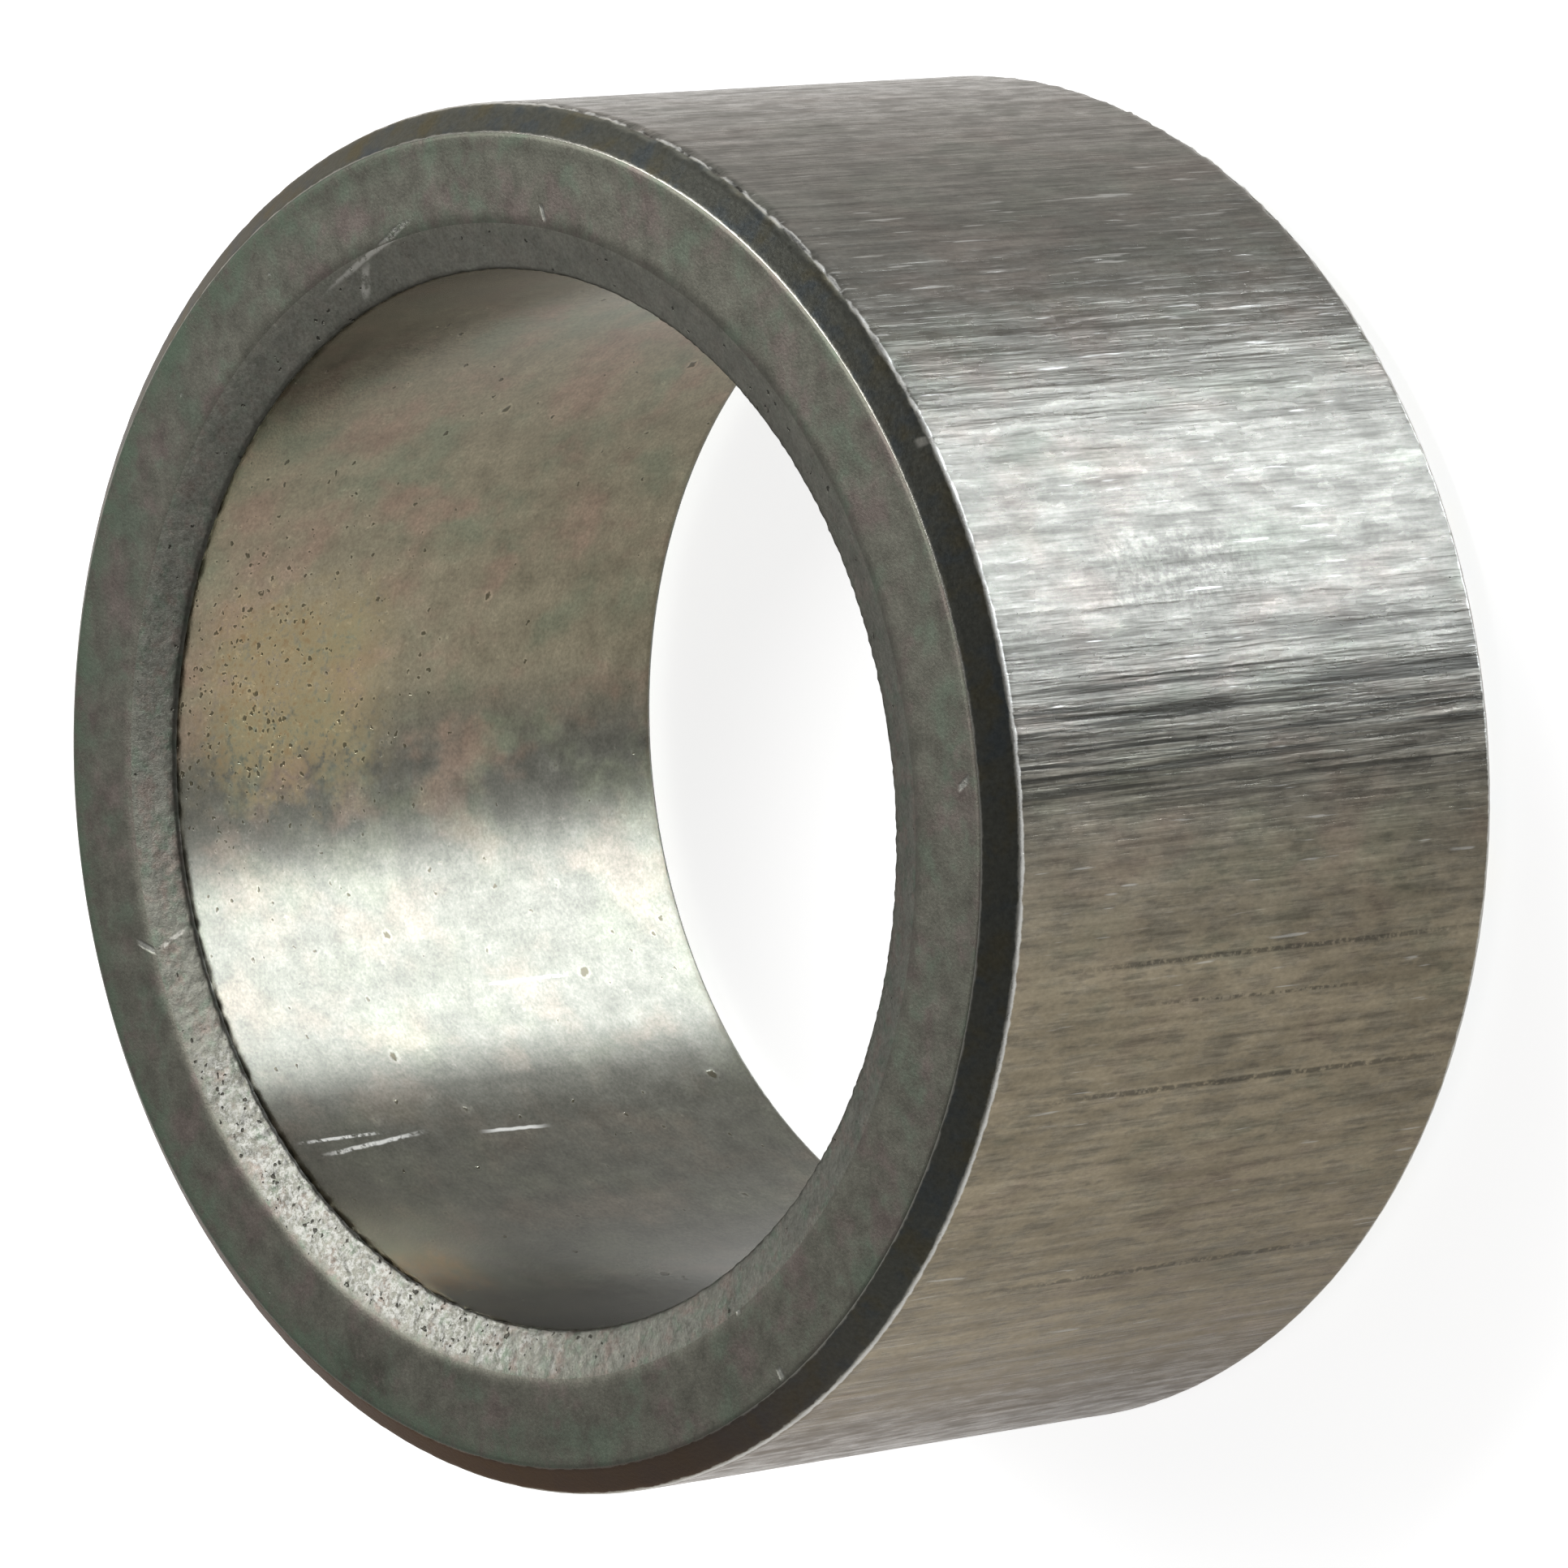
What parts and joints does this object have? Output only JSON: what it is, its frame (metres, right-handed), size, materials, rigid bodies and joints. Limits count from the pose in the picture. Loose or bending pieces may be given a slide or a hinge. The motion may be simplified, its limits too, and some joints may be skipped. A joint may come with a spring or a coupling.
{
  "type": "spacer sleeve",
  "caption": "Thick-walled turned steel sleeve with chamfered ends and a shallow countersunk bore, which keeps parts a set distance apart on a shaft or bolt.",
  "frame": {"origin": "centre of the lower end face, which the sleeve stands on", "axes": "+Z along the bore axis, from the lower end face to the upper one"},
  "size_m": [0.05, 0.05, 0.0255],
  "materials": {
    "turned_steel": "bare mild steel: faced ends with a dull grey-green mottle, dark lead chamfers, a bright outside with fine lengthwise draw lines and scratches, and a warmer grey-brown bore with pits and specks"
  },
  "bodies": {
    "root": {"spacer_sleeve": "turned_steel"}
  },
  "joints": []
}
